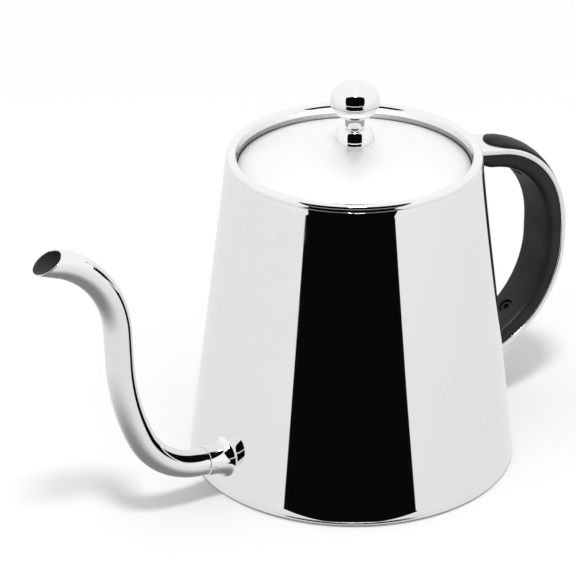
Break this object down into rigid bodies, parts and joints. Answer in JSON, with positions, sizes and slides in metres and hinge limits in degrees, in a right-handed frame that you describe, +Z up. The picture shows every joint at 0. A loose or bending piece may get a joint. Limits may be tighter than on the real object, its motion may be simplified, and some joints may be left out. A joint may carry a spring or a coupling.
{
  "type": "gooseneck kettle",
  "caption": "Conical stovetop kettle with a thin swan-neck spout low on the wall, a C-shaped strap handle with dark grips and a domed lift-off lid with a ball knob.",
  "frame": {"origin": "centre of the flat base, on the surface that the kettle stands on", "axes": "+Z up along the axis of the body, -X towards the spout, +X towards the handle"},
  "size_m": [0.239, 0.1236, 0.1518],
  "materials": {
    "polished_steel": "mirror-polished stainless steel with faint wipe marks",
    "base_steel": "turned stainless steel with fine rings and light scuffs",
    "strap_steel": "polished stainless strip",
    "grip_black": "black phenolic, satin",
    "screw_steel": "plain stainless steel",
    "screw_black": "blackened steel, satin"
  },
  "bodies": {
    "kettle": {"body_shell": "polished_steel", "base_pan": "base_steel", "rim_ring": "polished_steel", "spout_collar": "polished_steel", "spout_tube": "polished_steel", "upper_plate": "strap_steel", "lower_plate": "strap_steel", "handle_strap": "strap_steel", "inner_grip": "grip_black", "outer_grip": "grip_black", "grip_screws": "screw_black"},
    "lid": {"lid_cap": "polished_steel", "lid_skirt": "polished_steel", "knob_foot": "polished_steel", "knob_ball": "polished_steel", "knob_screw": "screw_steel", "knob_washer": "screw_steel"}
  },
  "joints": [
    {"name": "lid_lift", "type": "slide", "parent": "kettle", "child": "lid", "axis": [0, 0, 1], "range_m": [0, 0.05]}
  ]
}
